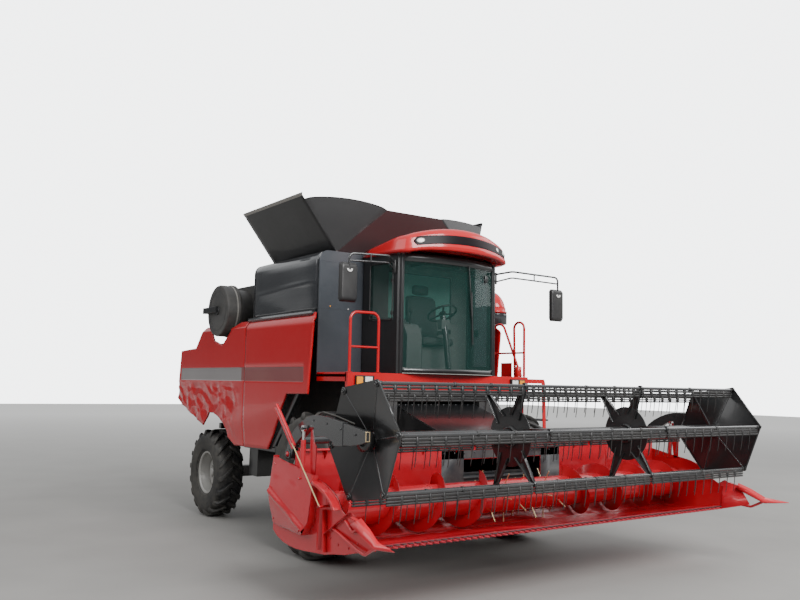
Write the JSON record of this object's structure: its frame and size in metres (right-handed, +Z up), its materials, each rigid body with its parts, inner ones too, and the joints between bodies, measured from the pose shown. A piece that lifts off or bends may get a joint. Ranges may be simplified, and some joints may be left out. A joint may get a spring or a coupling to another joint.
{
  "type": "combine harvester",
  "caption": "Self-propelled combine harvester with cab, grain tank, lifting header, reel, auger, steered rear axle and folding unloading tube.",
  "frame": {"origin": "on the ground under the middle of the machine's length and width", "axes": "+X forward, +Y to the machine's left, +Z up"},
  "size_m": [8.0689, 5.5878, 4.4057],
  "materials": {
    "red_paint": "glossy red enamel, dull in places",
    "header_red": "glossy red enamel",
    "grey_metal": "satin dark grey paint",
    "black_paint": "satin black paint",
    "tinted_glass": "green tinted safety glass",
    "tyre_rubber": "matte rubber",
    "rim_silver": "satin silver paint",
    "rod_chrome": "polished"
  },
  "bodies": {
    "machine": {"chassis_frame": "black_paint", "front_axle": "black_paint", "rear_axle": "black_paint", "separator_body": "grey_metal", "rear_hood": "red_paint", "grain_tank": "black_paint", "tank_extension": "black_paint", "engine": "grey_metal", "platform": "red_paint", "cab_frame": "black_paint", "cab_glass": "tinted_glass", "cab_roof": "red_paint", "cab_interior": "grey_metal", "handrails": "red_paint", "mirrors": "black_paint"},
    "right_panel": {"right_side_panel": "red_paint"},
    "left_panel": {"left_side_panel": "red_paint"},
    "screen": {"screen_drum": "black_paint"},
    "door": {"cab_door": "black_paint", "door_glass": "tinted_glass"},
    "unloader": {"unloader_tube": "red_paint"},
    "header": {"feeder_house": "black_paint", "header_frame": "header_red", "header_ends": "header_red", "cutter_bar": "header_red"},
    "auger": {"header_auger": "header_red"},
    "arms": {"reel_arms": "black_paint"},
    "reel_body": {"reel": "black_paint"},
    "bat_1": {"reel_bat_1": "black_paint"},
    "bat_2": {"reel_bat_2": "black_paint"},
    "bat_3": {"reel_bat_3": "black_paint"},
    "bat_4": {"reel_bat_4": "black_paint"},
    "bat_5": {"reel_bat_5": "black_paint"},
    "bat_6": {"reel_bat_6": "black_paint"},
    "lift_barrels": {"header_lift_barrels": "black_paint"},
    "lift_rods": {"header_lift_rods": "rod_chrome"},
    "reel_barrels": {"reel_lift_barrels": "header_red"},
    "reel_rods": {"reel_lift_rods": "rod_chrome"},
    "right_steer": {"right_knuckle": "black_paint"},
    "left_steer": {"left_knuckle": "black_paint"},
    "right_front_wheel": {"right_front_tyre": "tyre_rubber", "right_front_rim": "rim_silver"},
    "left_front_wheel": {"left_front_tyre": "tyre_rubber", "left_front_rim": "rim_silver"},
    "right_rear_wheel": {"right_rear_tyre": "tyre_rubber", "right_rear_rim": "rim_silver"},
    "left_rear_wheel": {"left_rear_tyre": "tyre_rubber", "left_rear_rim": "rim_silver"}
  },
  "joints": [
    {"name": "header_lift", "type": "hinge", "parent": "machine", "child": "header", "pos_m": [0.865, 0, 1.6], "axis": [0, -1, 0], "range_deg": [-13, 12]},
    {"name": "header_auger_spin", "type": "hinge", "parent": "header", "child": "auger", "pos_m": [2.535, 0, 0.865], "axis": [0, 1, 0], "continuous": true},
    {"name": "reel_lift", "type": "hinge", "parent": "header", "child": "arms", "pos_m": [2.115, 0, 1.35], "axis": [0, -1, 0], "range_deg": [0, 22]},
    {"name": "reel_spin", "type": "hinge", "parent": "arms", "child": "reel_body", "pos_m": [3.267, 0, 1.55], "axis": [0, 1, 0], "continuous": true},
    {"name": "bat_1_spin", "type": "hinge", "parent": "reel_body", "child": "bat_1", "pos_m": [3.7958, 0, 1.62432], "axis": [0, 1, 0], "continuous": true},
    {"name": "bat_2_spin", "type": "hinge", "parent": "reel_body", "child": "bat_2", "pos_m": [3.46704, 0, 2.04512], "axis": [0, 1, 0], "continuous": true},
    {"name": "bat_3_spin", "type": "hinge", "parent": "reel_body", "child": "bat_3", "pos_m": [2.93824, 0, 1.9708], "axis": [0, 1, 0], "continuous": true},
    {"name": "bat_4_spin", "type": "hinge", "parent": "reel_body", "child": "bat_4", "pos_m": [2.7382, 0, 1.47568], "axis": [0, 1, 0], "continuous": true},
    {"name": "bat_5_spin", "type": "hinge", "parent": "reel_body", "child": "bat_5", "pos_m": [3.06696, 0, 1.05488], "axis": [0, 1, 0], "continuous": true},
    {"name": "bat_6_spin", "type": "hinge", "parent": "reel_body", "child": "bat_6", "pos_m": [3.59576, 0, 1.1292], "axis": [0, 1, 0], "continuous": true},
    {"name": "header_lift_barrel_swing", "type": "hinge", "parent": "machine", "child": "lift_barrels", "pos_m": [0.86, 0, 0.56], "axis": [0, -1, 0], "range_deg": [-7, 6.5]},
    {"name": "header_lift_rod_slide", "type": "slide", "parent": "lift_barrels", "child": "lift_rods", "axis": [0.91, 0, 0.4147], "range_m": [-0.222, 0.205]},
    {"name": "reel_lift_barrel_swing", "type": "hinge", "parent": "header", "child": "reel_barrels", "pos_m": [2.465, 0, 1.16], "axis": [0, -1, 0], "range_deg": [-0.5, 13.5]},
    {"name": "reel_lift_rod_slide", "type": "slide", "parent": "reel_barrels", "child": "reel_rods", "axis": [0.022, 0, 0.9998], "range_m": [-0.001, 0.132]},
    {"name": "right_steering", "type": "hinge", "parent": "machine", "child": "right_steer", "pos_m": [-2.795, -1, 0.65], "axis": [0, 0, 1], "range_deg": [-30, 30]},
    {"name": "left_steering", "type": "hinge", "parent": "machine", "child": "left_steer", "pos_m": [-2.795, 1, 0.65], "axis": [0, 0, 1], "range_deg": [-30, 30]},
    {"name": "right_front_wheel_spin", "type": "hinge", "parent": "machine", "child": "right_front_wheel", "pos_m": [0.665, -1.45, 0.85], "axis": [0, 1, 0], "continuous": true},
    {"name": "left_front_wheel_spin", "type": "hinge", "parent": "machine", "child": "left_front_wheel", "pos_m": [0.665, 1.45, 0.85], "axis": [0, 1, 0], "continuous": true},
    {"name": "right_rear_wheel_spin", "type": "hinge", "parent": "right_steer", "child": "right_rear_wheel", "pos_m": [-2.795, -1.327, 0.65], "axis": [0, 1, 0], "continuous": true},
    {"name": "left_rear_wheel_spin", "type": "hinge", "parent": "left_steer", "child": "left_rear_wheel", "pos_m": [-2.795, 1.327, 0.65], "axis": [0, 1, 0], "continuous": true},
    {"name": "screen_spin", "type": "hinge", "parent": "machine", "child": "screen", "pos_m": [-2.295, -1.5, 3.085], "axis": [0, 1, 0], "continuous": true},
    {"name": "door_hinge", "type": "hinge", "parent": "machine", "child": "door", "pos_m": [1.047, 0.879, 2.9], "axis": [0, 0, -1], "range_deg": [0, 80]},
    {"name": "right_panel_lift", "type": "hinge", "parent": "machine", "child": "right_panel", "pos_m": [-0.5, -1.55, 2.91], "axis": [-1, 0, 0], "range_deg": [0, 60]},
    {"name": "left_panel_lift", "type": "hinge", "parent": "machine", "child": "left_panel", "pos_m": [-0.5, 1.55, 2.91], "axis": [1, 0, 0], "range_deg": [0, 60]},
    {"name": "unloader_swing", "type": "hinge", "parent": "machine", "child": "unloader", "pos_m": [0.26, 1.64, 3.1], "axis": [0, 0, -1], "range_deg": [0, 95]}
  ],
  "couplings": [
    {"joint": "bat_1_spin", "follows": "reel_spin", "ratio": -1},
    {"joint": "bat_2_spin", "follows": "reel_spin", "ratio": -1},
    {"joint": "bat_3_spin", "follows": "reel_spin", "ratio": -1},
    {"joint": "bat_4_spin", "follows": "reel_spin", "ratio": -1},
    {"joint": "bat_5_spin", "follows": "reel_spin", "ratio": -1},
    {"joint": "bat_6_spin", "follows": "reel_spin", "ratio": -1},
    {"joint": "header_lift_barrel_swing", "follows": "header_lift", "ratio": 0.498},
    {"joint": "header_lift_rod_slide", "follows": "header_lift", "m_per_rad": 0.9459},
    {"joint": "reel_lift_barrel_swing", "follows": "reel_lift", "ratio": 0.5818},
    {"joint": "reel_lift_rod_slide", "follows": "reel_lift", "m_per_rad": 0.3367},
    {"joint": "left_steering", "follows": "right_steering", "ratio": 1}
  ]
}
